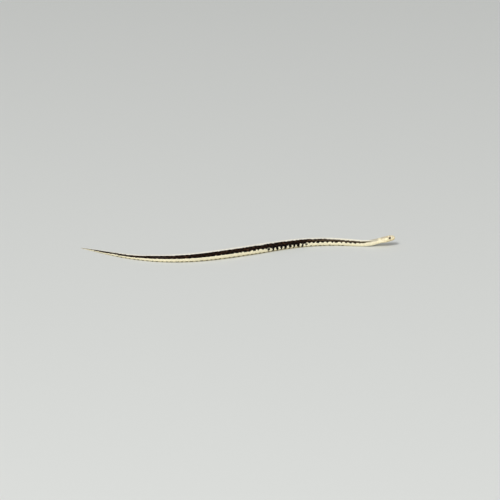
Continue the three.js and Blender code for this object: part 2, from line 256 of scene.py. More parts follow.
def face_outwards():
    """Turns the active piece's faces outwards and leaves edit mode"""
    bpy.ops.object.mode_set(mode="EDIT")
    bpy.ops.mesh.select_all(action="SELECT")
    bpy.ops.mesh.normals_make_consistent(inside=False)
    bpy.ops.object.mode_set(mode="OBJECT")


ring_s = np.concatenate([np.arange(*stretch) for stretch in SKIN_RINGS])
bpy.ops.object.select_all(action="DESELECT")
bpy.ops.mesh.primitive_grid_add(x_subdivisions=SKIN_COLUMNS, y_subdivisions=len(ring_s) - 1, size=1)
skin = bpy.context.object
skin.name = "skin"
grid = get_points(skin)
skin_s = ring_s[np.rint((grid[:, 1] + 0.5) * (len(ring_s) - 1)).astype(int)]
column = np.rint((grid[:, 0] + 0.5) * SKIN_COLUMNS)
half_column = np.minimum(column, SKIN_COLUMNS - column)

# One column follows the line of the mouth, with the next two as the edges of the lips
head_share = 1 - ease(skin_s, *MOUTH_COLUMN_FADE)
even_turn = MOUTH_COLUMN / (SKIN_COLUMNS / 2)
mouth_turn = even_turn + (turn_at_height(skin_s, mouth_line(skin_s)) - even_turn) * head_share
below = (half_column - MOUTH_COLUMN) / (SKIN_COLUMNS / 2 - MOUTH_COLUMN)
skin_t = np.where(
    half_column <= MOUTH_COLUMN,
    mouth_turn * half_column / MOUTH_COLUMN,
    mouth_turn + (1 - mouth_turn) * below,
)
lip_edge = np.abs(half_column - MOUTH_COLUMN) == 1
beside = mouth_turn + np.sign(half_column - MOUTH_COLUMN) * LIP_EDGE_GAP
skin_t = np.where(lip_edge, skin_t + (beside - skin_t) * head_share, skin_t)

# The mouth, the eye sockets and the nostrils fold inwards
_, skin_z = section(skin_s, skin_t)
off_mouth = (skin_z - mouth_line(skin_s)) / MOUTH_HIGH
slit = (1 - ease(skin_s, *MOUTH_FADE)) * np.exp(-off_mouth ** 2)
from_eye = np.hypot(skin_s - EYE_AT[0], skin_z - EYE_AT[2]) / EYE_SIZE[0]
socket = (1 - ease(from_eye, *SOCKET_FADE)) * (skin_t > SOCKET_TURNS[0]) * (skin_t < SOCKET_TURNS[1])
from_nostril = np.hypot(skin_s - NOSTRIL_AT[0], skin_z - NOSTRIL_AT[1]) / NOSTRIL_RADIUS
nostril = 1 - ease(from_nostril, *NOSTRIL_FADE)
skin_raised = -skin_depth(skin_s) - MOUTH_DEPTH * slit - SOCKET_DEPTH * socket - NOSTRIL_DEPTH * nostril
skin_t = np.where(column > SKIN_COLUMNS / 2, 2 - skin_t, skin_t)
set_points(skin, bend(skin_s, *section(skin_s, skin_t, skin_raised)))
# Painted shade darkens the skin between the shields and scales, and painted shadow fills the mouth slit and
# nostrils
set_lie(skin, skin_s, skin_t, EVEN_CHANCE, np.maximum(SKIN_SHADE, FOLD_SHADE * np.maximum(slit, nostril)))

# The two long edges close into a tube and each end is drawn together
bpy.ops.object.mode_set(mode="EDIT")
bpy.ops.mesh.select_all(action="SELECT")
bpy.ops.mesh.remove_doubles(threshold=1e-7)
for snout_end in (True, False):
    bpy.ops.mesh.select_all(action="DESELECT")
    bpy.ops.mesh.select_mode(type="EDGE")
    bpy.ops.mesh.select_non_manifold(extend=False)
    bpy.ops.object.mode_set(mode="OBJECT")
    for edge in skin.data.edges:
        if edge.select:
            edge.select = (skin.data.vertices[edge.vertices[0]].co.x > 0) == snout_end
    bpy.ops.object.mode_set(mode="EDIT")
    bpy.ops.mesh.extrude_region_move()
    bpy.ops.mesh.merge(type="CENTER")
bpy.ops.mesh.select_mode(type="VERT")
face_outwards()
bpy.ops.object.shade_smooth()
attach(skin, "root")
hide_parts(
    "head", "lower_jaw", "neck", "body_1", "body_2", "body_3", "body_4", "tail_1", "tail_2",
)


def paint(code):
    """A web colour as the light that a shader takes"""
    channels = [int(code[k:k + 2], 16) / 255 for k in (0, 2, 4)]
    return (*[((c + 0.055) / 1.055) ** 2.4 if c > 0.04045 else c / 12.92 for c in channels], 1)


def add_node(tree, kind, *sources, **settings):
    """A node whose inputs are linked to sockets or set to values, in their order"""
    node = tree.nodes.new(kind)
    for key, value in settings.items():
        setattr(node, key, value)
    for socket, source in zip(node.inputs, sources):
        if isinstance(source, bpy.types.NodeSocket):
            tree.links.new(source, socket)
        elif source is not None:
            socket.default_value = source
    return node


def compute(tree, operation, *sources):
    return add_node(tree, "ShaderNodeMath", *sources, operation=operation).outputs[0]


def step_between(tree, value, start, end, low=0, high=1):
    """Smooth step from low at start to high at end"""
    node = add_node(
        tree, "ShaderNodeMapRange", value, start, end, low, high, interpolation_type="SMOOTHSTEP",
    )
    return node.outputs[0]


def blend(tree, share, first, second):
    """Two colours mixed by the share of the second"""
    node = add_node(tree, "ShaderNodeMix", data_type="RGBA")
    for socket, source in ((node.inputs[0], share), (node.inputs[6], first), (node.inputs[7], second)):
        if isinstance(source, bpy.types.NodeSocket):
            tree.links.new(source, socket)
        else:
            socket.default_value = source
    return node.outputs[2]


def new_group(name, inputs, outputs):
    """An empty shader node group, with its input and output nodes"""
    tree = bpy.data.node_groups.new(name, "ShaderNodeTree")
    for label, kind in inputs:
        tree.interface.new_socket(label, in_out="INPUT", socket_type=kind)
    for label, kind in outputs:
        tree.interface.new_socket(label, in_out="OUTPUT", socket_type=kind)
    return tree, tree.nodes.new("NodeGroupInput"), tree.nodes.new("NodeGroupOutput")


# The markings: a pale stripe down the back and along each flank, between them a dark band with two rows of
# black spots, bars from it across the flank stripe, and small spots along the edge of the belly scutes.
# Places along the body are in mm from the snout, and heights in shares of the flank, from the back downwards.
BACK_WHITE = paint("F8F5E8")
FLANK_CREAM = paint("FCF3D2")
BELLY_CREAM = paint("E6E0C6")
LOW_TAN = paint("B9AB7C")
BAND_START = paint("8A8064")
BAND_COLORS = (((23, 31), "52452A"), ((32, 42), "48331F"), ((76, 98), "2C190E"))
FLECK_BROWN = paint("553A24")
SPOT_BROWN = paint("1E1107")
SPOT_BLACK = paint("0A0402")
LOW_SPOT_BROWN = paint("21150C")
HEAD_CREAM = paint("FFF4CF")
LIP_CREAM = paint("F4E3B5")
# Sand tones of the snout and crown, paler than the crown's own olive as a painted wet sheen
SNOUT_SAND_AND_SHEEN = paint("F2E4C1")
CROWN_SAND_AND_SHEEN = paint("DCCFB3")
NAPE_GREY = paint("BFB7A2")
# Brown of the dark-edged suture lines and of the painted shade on the head
SUTURE_AND_SHADE_BROWN = paint("7A6540")
WANDER_SCALE = 260
WANDER_DETAIL = 2
WANDER_LONG = 5
WANDER_HIGH = 0.07
OWN_WANDER = 0.05
SPOT_PITCH = 4.8
SPOT_SQUARENESS = 2.4
SPOT_EDGE = (0.8, 1.2)
SHRUNK = 1.25
LOW_SPOT_STRENGTH = 0.85
LOW_TAN_STRENGTH = 0.65
FLECKED = (0.36, 0.44)
FLECK_STRENGTH = 0.55
OWN_TONE = 0.16
SHADE_TONE = -0.5

markings, given, result = new_group(
    "garter_markings",
    [("Lie", "NodeSocketVector"), ("Shade", "NodeSocketFloat")],
    [("Color", "NodeSocketColor"), ("Dark", "NodeSocketFloat")],
)
object_place = add_node(markings, "ShaderNodeTexCoord").outputs["Object"]
wander = add_node(markings, "ShaderNodeTexNoise", object_place)
wander.inputs["Scale"].default_value = WANDER_SCALE
wander.inputs["Detail"].default_value = WANDER_DETAIL
lie_parts = add_node(markings, "ShaderNodeSeparateXYZ", given.outputs["Lie"])
drift = compute(markings, "SUBTRACT", wander.outputs[0], 0.5)
along = compute(markings, "MULTIPLY_ADD", drift, WANDER_LONG, lie_parts.outputs["X"])
flank = compute(markings, "MULTIPLY_ADD", drift, WANDER_HIGH, lie_parts.outputs["Y"])
own = compute(markings, "SUBTRACT", lie_parts.outputs["Z"], EVEN_CHANCE)
flank = compute(markings, "MULTIPLY_ADD", own, OWN_WANDER, flank)


def along_body(start, end, low=0, high=1):
    return step_between(markings, lie_parts.outputs["X"], start, end, low, high)


def down_flank(start, end, low=0, high=1):
    return step_between(markings, flank, start, end, low, high)


def product(first, *others):
    for other in others:
        first = compute(markings, "MULTIPLY", first, other)
    return first


def spot_power(distance):
    return compute(markings, "POWER", compute(markings, "ABSOLUTE", distance), SPOT_SQUARENESS)


def spot_row(phase, height, half_long, half_high, grown):
    """One row of rounded spots along the flank, which grow from nothing to full size"""
    turns = compute(markings, "MULTIPLY_ADD", along, 1 / SPOT_PITCH, phase)
    beside = compute(markings, "SUBTRACT", compute(markings, "FRACT", turns), 0.5)
    above = compute(markings, "SUBTRACT", flank, height)
    reach = compute(
        markings, "ADD",
        spot_power(product(beside, SPOT_PITCH / half_long)), spot_power(product(above, 1 / half_high)),
    )
    reach = compute(markings, "ADD", reach, compute(markings, "MULTIPLY_ADD", grown, -SHRUNK, SHRUNK))
    return step_between(markings, reach, *SPOT_EDGE, 1, 0)


def band_edge(height, moves):
    """Distance down the flank from an edge of the band, whose height moves over each stretch of the body"""
    for share, move in moves:
        height = compute(markings, "MULTIPLY_ADD", share, move, height)
    return compute(markings, "SUBTRACT", flank, height)


grown = along_body(27, 40)
barred = product(along_body(86, 99), along_body(126, 142, 1, 0))
upper_spots = spot_row(phase=0.5, height=0.32, half_long=1.5, half_high=0.12, grown=grown)
middle_spots = spot_row(phase=0, height=0.54, half_long=1.6, half_high=0.12, grown=grown)
low_spots = spot_row(phase=0.5, height=0.93, half_long=1.15, half_high=0.065, grown=along_body(40, 66))
bars = spot_row(phase=0.5, height=0.72, half_long=1.55, half_high=0.19, grown=barred)
into_band = band_edge(0.25, [(along_body(25, 33), 0.06), (along_body(46, 84), -0.112)])
out_of_band = band_edge(0.48, [
    (along_body(24, 36), 0.07), (along_body(76, 98), 0.02), (along_body(118, 140), 0.05), (barred, 0.025),
])
band = product(
    step_between(markings, into_band, -0.015, 0.02),
    step_between(markings, out_of_band, -0.02, 0.015, 1, 0),
    along_body(20, 26),
)
spots = compute(markings, "MAXIMUM", upper_spots, middle_spots)
spots = product(spots, step_between(markings, into_band, -0.03, 0))
spots = compute(markings, "MAXIMUM", spots, bars)

pale = blend(markings, down_flank(0.1, 0.35), BACK_WHITE, FLANK_CREAM)
pale = blend(markings, down_flank(0.95, 1.15), pale, BELLY_CREAM)
low_band = product(down_flank(0.84, 0.875), along_body(22, 60), LOW_TAN_STRENGTH)
coloring = blend(markings, low_band, pale, LOW_TAN)
coloring = blend(markings, down_flank(0.98, 1.06), coloring, BELLY_CREAM)
ground = BAND_START
for stretch, code in BAND_COLORS:
    ground = blend(markings, along_body(*stretch), ground, paint(code))
flecks = step_between(markings, own, *FLECKED, 0, FLECK_STRENGTH)
ground = blend(markings, flecks, ground, FLECK_BROWN)
coloring = blend(markings, band, coloring, ground)
spot_color = blend(markings, along_body(50, 90), SPOT_BROWN, SPOT_BLACK)
coloring = blend(markings, spots, coloring, spot_color)
coloring = blend(markings, product(low_spots, LOW_SPOT_STRENGTH), coloring, LOW_SPOT_BROWN)

# Head: cream with warmer lips, pale sand on the crown that is deepest at its rear and lighter than the
# snake's own olive crown as a painted wet sheen, and a greyish nape
lips = product(down_flank(0.55, 0.75), along_body(7, 14, 1, 0))
cream = blend(markings, lips, HEAD_CREAM, LIP_CREAM)
coloring = blend(markings, along_body(14, 24, 1, 0), coloring, cream)
crown = product(down_flank(0.26, 0.4, 1, 0), along_body(12, 15, 1, 0))
sand_and_sheen = blend(markings, along_body(6, 9), SNOUT_SAND_AND_SHEEN, CROWN_SAND_AND_SHEEN)
coloring = blend(markings, crown, coloring, sand_and_sheen)
nape = product(
    along_body(15, 18), along_body(22, 28, 1, 0.1), along_body(60, 98, 1, 0), down_flank(0.4, 0.54, 0.85, 0),
)
coloring = blend(markings, nape, coloring, NAPE_GREY)

# Painted shade darkens the grooves, the mouth slit, the nostrils and the scales' covered parts and edges, in
# brown on the head, where the suture lines are also dark-edged; each scale differs a little from the next
sutures_and_shade = product(given.outputs["Shade"], along_body(12, 16, 0.55, 0))
coloring = blend(markings, sutures_and_shade, coloring, SUTURE_AND_SHADE_BROWN)
own_tone = compute(markings, "MULTIPLY_ADD", own, OWN_TONE, 1)
shade_tone = compute(markings, "MULTIPLY_ADD", given.outputs["Shade"], SHADE_TONE, 1)
tone = product(own_tone, shade_tone)
toned = add_node(markings, "ShaderNodeHueSaturation", None, None, tone, None, coloring).outputs[0]
markings.links.new(toned, result.inputs["Color"])
dark = compute(markings, "MAXIMUM", compute(markings, "MAXIMUM", band, bars), low_spots)
markings.links.new(dark, result.inputs["Dark"])


def new_material(name):
    material = bpy.data.materials.new(name)
    material.use_nodes = True
    return material, material.node_tree, material.node_tree.nodes["Principled BSDF"]


def set_material(piece, material):
    piece.data.materials.clear()
    piece.data.materials.append(material)


# Horn with a fine grain: the pale scales carry a thin film of gloss, the dark ones hardly any
GRAIN_SCALE = 5000
GRAIN_STRENGTH = 0.25
GRAIN_HEIGHT = 0.00002
HORN_ROUGHNESS = (0.45, 0.65)
PALE_GLOSS = 0.22
DARK_GLOSS = 0.03
FILM_ROUGHNESS = 0.15
HORN_SPECULAR = 0.04
skin_material, tree, shader = new_material("skin")
lie = add_node(tree, "ShaderNodeAttribute", attribute_name="lie")
shading = add_node(tree, "ShaderNodeAttribute", attribute_name="shade")
marked = add_node(tree, "ShaderNodeGroup", node_tree=markings)
tree.links.new(lie.outputs["Vector"], marked.inputs["Lie"])
tree.links.new(shading.outputs["Fac"], marked.inputs["Shade"])
tree.links.new(marked.outputs["Color"], shader.inputs["Base Color"])
grain = add_node(tree, "ShaderNodeTexNoise", add_node(tree, "ShaderNodeTexCoord").outputs["Object"])
grain.inputs["Scale"].default_value = GRAIN_SCALE
roughness = step_between(tree, grain.outputs[0], 0.3, 0.7, *HORN_ROUGHNESS)
tree.links.new(roughness, shader.inputs["Roughness"])
gloss = step_between(tree, marked.outputs["Dark"], 0, 1, PALE_GLOSS, DARK_GLOSS)
tree.links.new(gloss, shader.inputs["Coat Weight"])
bump = add_node(tree, "ShaderNodeBump", GRAIN_STRENGTH, GRAIN_HEIGHT)
tree.links.new(grain.outputs[0], bump.inputs["Height"])
tree.links.new(bump.outputs[0], shader.inputs["Normal"])
shader.inputs["Specular IOR Level"].default_value = HORN_SPECULAR
shader.inputs["Coat Roughness"].default_value = FILM_ROUGHNESS
set_material(skin, skin_material)

# Head shields
# Large smooth plates of horn cover the head, laid edge to edge like paving: a rostral on the snout's tip,
# pairs and one middle plate on the crown, a row along each lip and long shields under the chin.
# Each grows from the skin and keeps a fine groove to its neighbours.

SHIELD_SIDES = 40
SHIELD_INSETS = (0.05, 0.09, 0.2, 0.26, 0.2)
SHIELD_LIFT = 0.17
SHIELD_ROOT = 0.05
SHIELD_GROOVE = 0.055
BEVEL_AT = (0, 0.85, 0.95, 1.0)
SHIELD_BEVEL = (1.06, 1.0, 0.8, 0.25)
CROWN_LIFT = 0.03
UPPER_LIP_LIFT = 0.02
EYE_RIM_ROOM = 0.12
NOSTRIL_RIM_ROOM = 0.06
SHARP_ANGLE = math.radians(50)
EVENNESS = 0.6
BORDER = (0.88, 1)
BORDER_SHADE = 0.5
rng = np.random.default_rng(7)

bpy.ops.object.select_all(action="DESELECT")
bpy.ops.mesh.primitive_circle_add(vertices=SHIELD_SIDES, radius=1, fill_type="NGON")
shield_pattern = bpy.context.object
bpy.ops.object.mode_set(mode="EDIT")
bpy.ops.mesh.extrude_region_move(TRANSFORM_OT_translate={"value": (0, 0, 1)})
for inset in SHIELD_INSETS:
    bpy.ops.mesh.inset(thickness=inset)
bpy.ops.mesh.poke()
face_outwards()


def read_pattern(piece):
    """A pattern's points, corners and faces as plain arrays, with the pattern itself cleared away"""
    mesh = piece.data
    points = get_points(piece)
    corners = np.empty(len(mesh.loops), int)
    starts = np.empty(len(mesh.polygons), int)
    mesh.loops.foreach_get("vertex_index", corners)
    mesh.polygons.foreach_get("loop_start", starts)
    bpy.data.objects.remove(piece)
    return points, corners, starts


def joined_copies(name, pattern, places, turns, owns, shade, points, patches):
    """One mesh of many copies of a pattern, each at its own place on the skin, with its map for baking"""
    plan, corners, starts = pattern
    count = len(points)
    mesh = bpy.data.meshes.new(name)
    mesh.vertices.add(count * len(plan))
    mesh.loops.add(count * len(corners))
    mesh.polygons.add(count * len(starts))
    copies = np.arange(count)[:, None]
    all_corners = (corners + copies * len(plan)).ravel()
    mesh.loops.foreach_set("vertex_index", all_corners)
    mesh.polygons.foreach_set("loop_start", (starts + copies * len(corners)).ravel())
    piece = bpy.data.objects.new(name, mesh)
    bpy.context.collection.objects.link(piece)
    set_points(piece, points.reshape(-1, 3))
    mesh.update(calc_edges=True)
    set_lie(piece, places.ravel(), turns.ravel(), np.repeat(owns, len(plan)), np.tile(shade, count))
    uv = mesh.uv_layers.new(name="OFBake")
    corner_patches = patches.reshape(-1, 2)[all_corners]
    uv.data.foreach_set("uv", np.ascontiguousarray(corner_patches, np.float32).ravel())
    bpy.ops.object.select_all(action="DESELECT")
    bpy.context.view_layer.objects.active = piece
    piece.select_set(True)
    bpy.ops.object.shade_smooth_by_angle(angle=SHARP_ANGLE)
    set_material(piece, skin_material)
    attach(piece, "root")
    return piece


shield_plan = read_pattern(shield_pattern)
plan_radius = np.hypot(shield_plan[0][:, 0], shield_plan[0][:, 1])
plan_on_top = shield_plan[0][:, 2] > 0.5


def paced_outline(corners):
    """Points along a closed outline, more on its longer edges, with its corners a little rounded"""
    corners = np.array(corners, float)
    after = np.roll(corners, -1, axis=0)
    lengths = np.hypot(*(after - corners).T)
    shares = lengths / lengths.sum() * (SHIELD_SIDES - 2 * len(corners))
    counts = np.floor(shares).astype(int) + 2
    spare = SHIELD_SIDES - counts.sum()
    counts[np.argsort(shares - np.floor(shares))[::-1][:spare]] += 1
    edges = [a + (b - a) * np.arange(n)[:, None] / n for a, b, n in zip(corners, after, counts)]
    points = np.vstack(edges)
    return (points * 2 + np.roll(points, 1, axis=0) + np.roll(points, -1, axis=0)) / 4


def clear_of_rings(s, z):
    """Moves points of the head's sides out of the rims of the eye and the nostril"""
    eye_ring = (EYE_AT[0], EYE_AT[2], EYE_SIZE[0] + EYE_RIM_ROOM)
    nostril_ring = (*NOSTRIL_AT, NOSTRIL_RADIUS + NOSTRIL_RIM_ROOM)
    for middle_s, middle_z, radius in (eye_ring, nostril_ring):
        away = np.hypot(s - middle_s, z - middle_z)
        grow = np.where(away < radius, radius / np.maximum(away, 1e-3), 1)
        s = middle_s + (s - middle_s) * grow
        z = middle_z + (z - middle_z) * grow
    return s, z


def shield(corners, view, side=1, height=0.0):
    """A shield's points. Its outline is in s and y on the crown and the chin, and in s and z on the sides"""
    plan = shield_plan[0]
    outline = paced_outline(corners)
    middle = outline.mean(axis=0)
    inward = outline - middle
    outline = outline - inward * (SHIELD_GROOVE / np.hypot(*inward.T))[:, None]
    spoke = np.rint(np.arctan2(plan[:, 1], plan[:, 0]) / (2 * np.pi) * SHIELD_SIDES).astype(int)
    flat = middle + (outline[spoke % SHIELD_SIDES] - middle) * plan_radius[:, None]
    s, across = flat.T
    if view == "crown":
        share = np.clip(np.abs(across) / half_width(s), 0, 1) ** (squareness(s) / 2)
        t = np.sign(across) * np.arcsin(share) / np.pi
    elif view == "side":
        s, across = clear_of_rings(s, across)
        t = turn_at_height(s, across)
    else:
        flat_part = belly_flat(s) * half_width(s)
        beyond = np.clip((np.abs(across) - flat_part) / (half_width(s) - flat_part), 0, 1)
        on_curve = WIDEST_TURN + (FLAT_TURN - WIDEST_TURN) * np.arccos(beyond) / (np.pi / 2)
        on_flat = 1 - (1 - FLAT_TURN) * np.abs(across) / flat_part
        t = np.where(np.abs(across) < flat_part, on_flat, on_curve)
        t = np.where(across < 0, 2 - t, t)
    t = np.mod(t * side, 2)
    bevel = np.interp(plan_radius, BEVEL_AT, SHIELD_BEVEL)
    raised = height - SHIELD_LIFT + np.where(plan_on_top, SHIELD_LIFT * bevel, -SHIELD_ROOT)
    return s, t, raised


crown_shields = {
    "internasal": [
        (0.5, 0.02), (0.43, 0.35), (0.3, 0.85), (0.5, 1.25), (1.5, 1.7), (2.02, 1.2), (2.05, 0.02),
    ],
    "prefrontal": [
        (2.15, 0.02), (2.1, 1.25), (1.66, 1.85), (2.9, 2.45), (3.35, 2.05), (3.25, 1.1), (3.4, 0.02),
    ],
    "supraocular": [
        (3.5, 1.18), (3.5, 2.05), (3.9, 2.4), (5, 2.55), (6.2, 2.64), (7, 2.48), (6.8, 1.1), (4.95, 1.04),
    ],
    "parietal": [
        (7.35, 0.02), (6.9, 1.1), (7.15, 2.55), (8.1, 2.8), (10.1, 2.45), (11.9, 1.5), (12.2, 0.75),
        (11.5, 0.02),
    ],
}
frontal = [
    (3.5, 0), (3.38, 1.05), (4.95, 0.95), (6.75, 1), (7.3, 0), (6.75, -1), (4.95, -0.95), (3.38, -1.05),
]
side_shields = {
    "front_nasal": [(0.3, 2.34), (0.27, 2.95), (0.45, 3.32), (0.8, 3.68), (1.38, 3.95), (1.42, 2.55)],
    "rear_nasal": [(1.45, 2.58), (1.42, 4.02), (1.7, 4.1), (2.05, 3.95), (2.08, 2.66)],
    "loreal": [(2.13, 2.68), (2.1, 3.95), (2.85, 3.98), (2.93, 2.76)],
    "preocular": [(2.98, 2.78), (2.9, 3.98), (3.35, 4.55), (3.8, 4.7), (3.9, 3.9), (3.75, 2.66)],
    "low_postocular": [(5.9, 2.64), (6.15, 3.35), (7.15, 3.4), (7.15, 2.88)],
    "mid_postocular": [(6.15, 3.4), (6.2, 4.15), (7.15, 4.12), (7.15, 3.45)],
    "high_postocular": [(5.95, 4.2), (5.85, 4.8), (7, 4.98), (7.15, 4.17)],
    "front_temporal": [(7.2, 2.95), (7.2, 4.88), (8.1, 4.84), (9.7, 5.1), (9.8, 3.28)],
    "low_temporal": [(9.85, 3.32), (9.8, 4.2), (12.5, 4.3), (12.7, 3.62)],
    "high_temporal": [(9.78, 4.25), (9.75, 5.12), (12, 5.38), (12.4, 4.36)],
}
upper_lip_edges = (0.34, 1.8, 3.1, 4.5, 6, 8.1, 10.9, 14)
upper_lip_tops = profile([
    (0.2, 2.25), (0.5, 2.34), (2, 2.6), (3.1, 2.7), (4.3, 2.46), (5.6, 2.48), (7.2, 2.82), (8.6, 3),
    (11.2, 3.25), (14, 3.65),
])
lower_lip_edges = (0.75, 1.6, 2.5, 3.5, 4.7, 6.1, 7.7, 9.5, 11.4, 13, 14.2)
LIP_GAP = 0.05
LOWER_LIP_HEIGHT = 1
mental = [(0.22, 0.8), (0.2, 0), (0.22, -0.8), (0.75, -0.7), (1.35, 0), (0.75, 0.7)]
chin_shields = {
    "first_chin": [(1.4, 0.03), (0.85, 0.68), (1.6, 1.05), (1.75, 0.03)],
    "front_chin": [(1.83, 0.03), (1.68, 1.05), (2.4, 1.5), (3.5, 1.93), (4.9, 2.2), (5.75, 1.9), (5.6, 0.03)],
    "rear_chin": [(5.7, 0.03), (5.85, 1.95), (6.8, 2.35), (8.4, 2.4), (9.8, 2), (10.1, 1.4), (8.7, 0.5)],
}

# The rostral's rear edge as s by the turn around the snout, its blunt front, and its drop over the mouth
ROSTRAL_TURNS = (0, 0.1, 0.2, 0.35, 0.5, 0.61, 0.7, 1)
ROSTRAL_REAR = (0.46, 0.37, 0.27, 0.23, 0.25, 0.33, 0.24, 0.22)
ROSTRAL_BEVEL = (1, 1, 0.8, 0.2)
ROSTRAL_START = 0.02
ROSTRAL_FRONT = 0.6
ROSTRAL_DOME = 0.16
ROSTRAL_ROOT = 0.1
ROSTRAL_OVER_MOUTH = 0.08


def rostral():
    """The shield at the tip of the snout, with its middle on the blunt front and its rim on the sides"""
    plan = shield_plan[0]
    t = np.mod(np.arctan2(plan[:, 0], plan[:, 1]) / np.pi, 2)
    rear = np.interp(np.minimum(t, 2 - t), ROSTRAL_TURNS, ROSTRAL_REAR) - SHIELD_GROOVE
    inner = np.clip(plan_radius / ROSTRAL_FRONT, 0, 1)
    outer = np.clip((plan_radius - ROSTRAL_FRONT) / (1 - ROSTRAL_FRONT), 0, 1)
    s = ROSTRAL_START + ROSTRAL_DOME * inner ** 3 + outer * (rear - ROSTRAL_DOME)
    bevel = np.interp(plan_radius, BEVEL_AT, ROSTRAL_BEVEL)
    y, z = section(s, t, -SHIELD_LIFT + np.where(plan_on_top, SHIELD_LIFT * bevel, -SHIELD_ROOT))
    z = np.maximum(z, mouth_line(s) + ROSTRAL_OVER_MOUTH)
    middle = (back(0) + mouth_line(0)) / 2
    sunk = np.where(plan_on_top, 0, ROSTRAL_ROOT)
    return s + sunk, t, y * inner, middle + (z - middle) * inner


def lip_shield(front, rear, off_mouth, far_edge, side, height=0.0):
    """One shield of a lip, from three points along the mouth to its far edge"""
    near = [(s, mouth_line(s) + off_mouth) for s in (front, (front + rear) / 2, rear)]
    return shield(near + [(s, far_edge(s)) for s in (rear, front)], "side", side, height)


def lower_lip_foot(s):
    return mouth_line(s) - LOWER_LIP_HEIGHT


shields = []
for side in (1, -1):
    shields += [shield(outline, "crown", side, CROWN_LIFT) for outline in crown_shields.values()]
    shields += [shield(outline, "side", side) for outline in side_shields.values()]
    for front, rear in zip(upper_lip_edges, upper_lip_edges[1:]):
        shields.append(lip_shield(front, rear, LIP_GAP, upper_lip_tops, side, UPPER_LIP_LIFT))
    for front, rear in zip(lower_lip_edges, lower_lip_edges[1:]):
        shields.append(lip_shield(front, rear, -LIP_GAP, lower_lip_foot, side))
    shields += [shield(outline, "chin", side) for outline in chin_shields.values()]
shields.append(shield(frontal, "crown", height=CROWN_LIFT))
shields.append(shield(mental, "chin"))

shield_s, shield_t, shield_raised = (np.array(column) for column in zip(*shields))
shield_y, shield_z = section(shield_s, shield_t, shield_raised)
rostral_s, rostral_t, rostral_y, rostral_z = rostral()
shield_s = np.vstack([shield_s, rostral_s])
shield_t = np.vstack([shield_t, rostral_t])
shield_points = bend(shield_s, np.vstack([shield_y, rostral_y]), np.vstack([shield_z, rostral_z]))
shield_map = np.stack([shield_s / LENGTH, shield_t / 2], -1)

# Each shield takes its colour mostly from its middle, so that the shades change from shield to shield
shield_turn = np.minimum(shield_t, 2 - shield_t)
shield_turn = shield_turn + (shield_turn.mean(axis=1)[:, None] - shield_turn) * EVENNESS
# Each shield's border is darker: painted shade where it dips into its groove, and the dark edge of its suture
# lines
head_shields = joined_copies(
    "head_shields", shield_plan, shield_s, shield_turn, rng.random(len(shield_s)),
    ease(plan_radius, *BORDER) * BORDER_SHADE, shield_points, shield_map,
)

# Eyes
# Each eye is a ball under a clear fixed scale, with a round black pupil, a thin gold ring and a brown iris.
# It sits deep in a socket, and a fine fold of skin rims each socket and each nostril.

EYE_TURN = (9, 8)
EYE_SEGMENTS = (48, 32)
PUPIL_EDGE = (0.47, 0.5)
RING_EDGE = (0.51, 0.57)
IRIS_EDGE = (0.74, 0.86)
STREAK_SCALE = 9
STREAK_DETAIL = 6
PUPIL_BLACK = paint("040302")
RING_GOLD = paint("B08A48")
IRIS_DARK = paint("2A1A0D")
IRIS_LIGHT = paint("7C5629")
EYE_EDGE_DARK = paint("120C08")

eye_material, tree, shader = new_material("eye")
gaze_node = add_node(tree, "ShaderNodeAttribute", attribute_name="gaze")
gaze_parts = add_node(tree, "ShaderNodeSeparateXYZ", gaze_node.outputs["Vector"])
squares = [compute(tree, "MULTIPLY", gaze_parts.outputs[axis], gaze_parts.outputs[axis]) for axis in "XY"]
off_pole = compute(tree, "SQRT", compute(tree, "ADD", *squares))
streaks = add_node(tree, "ShaderNodeTexNoise", gaze_node.outputs["Vector"])
streaks.inputs["Scale"].default_value = STREAK_SCALE
streaks.inputs["Detail"].default_value = STREAK_DETAIL
iris = blend(tree, step_between(tree, streaks.outputs[0], 0.35, 0.7), IRIS_DARK, IRIS_LIGHT)
iris = blend(tree, step_between(tree, off_pole, *RING_EDGE, 1, 0), iris, RING_GOLD)
eye_color = blend(tree, step_between(tree, off_pole, *PUPIL_EDGE, 1, 0), iris, PUPIL_BLACK)
eye_color = blend(tree, step_between(tree, off_pole, *IRIS_EDGE), eye_color, EYE_EDGE_DARK)
tree.links.new(eye_color, shader.inputs["Base Color"])
shader.inputs["Roughness"].default_value = 0.25
shader.inputs["Coat Weight"].default_value = 1
shader.inputs["Coat Roughness"].default_value = 0.02

for name, side in (("eye_left", 1), ("eye_right", -1)):
    bpy.ops.object.select_all(action="DESELECT")
    bpy.ops.mesh.primitive_uv_sphere_add(segments=EYE_SEGMENTS[0], ring_count=EYE_SEGMENTS[1], radius=1)
    eye = bpy.context.object
    eye.name = f"{name}_ball"
    ball = get_points(eye)
    # The ball's pole looks out of the head, a little upwards and ahead
    shape = ball[:, (0, 2, 1)] * EYE_SIZE
    up, ahead = np.radians(EYE_TURN)
    out = shape[:, 1] * math.cos(up) - shape[:, 2] * math.sin(up)
    z = shape[:, 1] * math.sin(up) + shape[:, 2] * math.cos(up)
    x = shape[:, 0] * math.cos(ahead) + out * math.sin(ahead)
    y = -shape[:, 0] * math.sin(ahead) + out * math.cos(ahead)
    set_points(eye, bend(EYE_AT[0] - x, (y + EYE_AT[1]) * side, z + EYE_AT[2]))
    face_outwards()
    bpy.ops.object.shade_smooth()
    gaze = eye.data.attributes.new("gaze", "FLOAT_VECTOR", "POINT")
    gaze.data.foreach_set("vector", np.ascontiguousarray(ball, np.float32).ravel())
    set_material(eye, eye_material)
    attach(eye, "root")
    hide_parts(name)

RIM_SEGMENTS = (48, 10)
RIM_SHADE = 0.25
EYE_RIM_INSIDE = 0.06
EYE_RIM_THICK = 0.15
EYE_RIM_LIFT = -0.13
NOSTRIL_RIM_THICK = 0.08
NOSTRIL_RIM_LIFT = -0.1


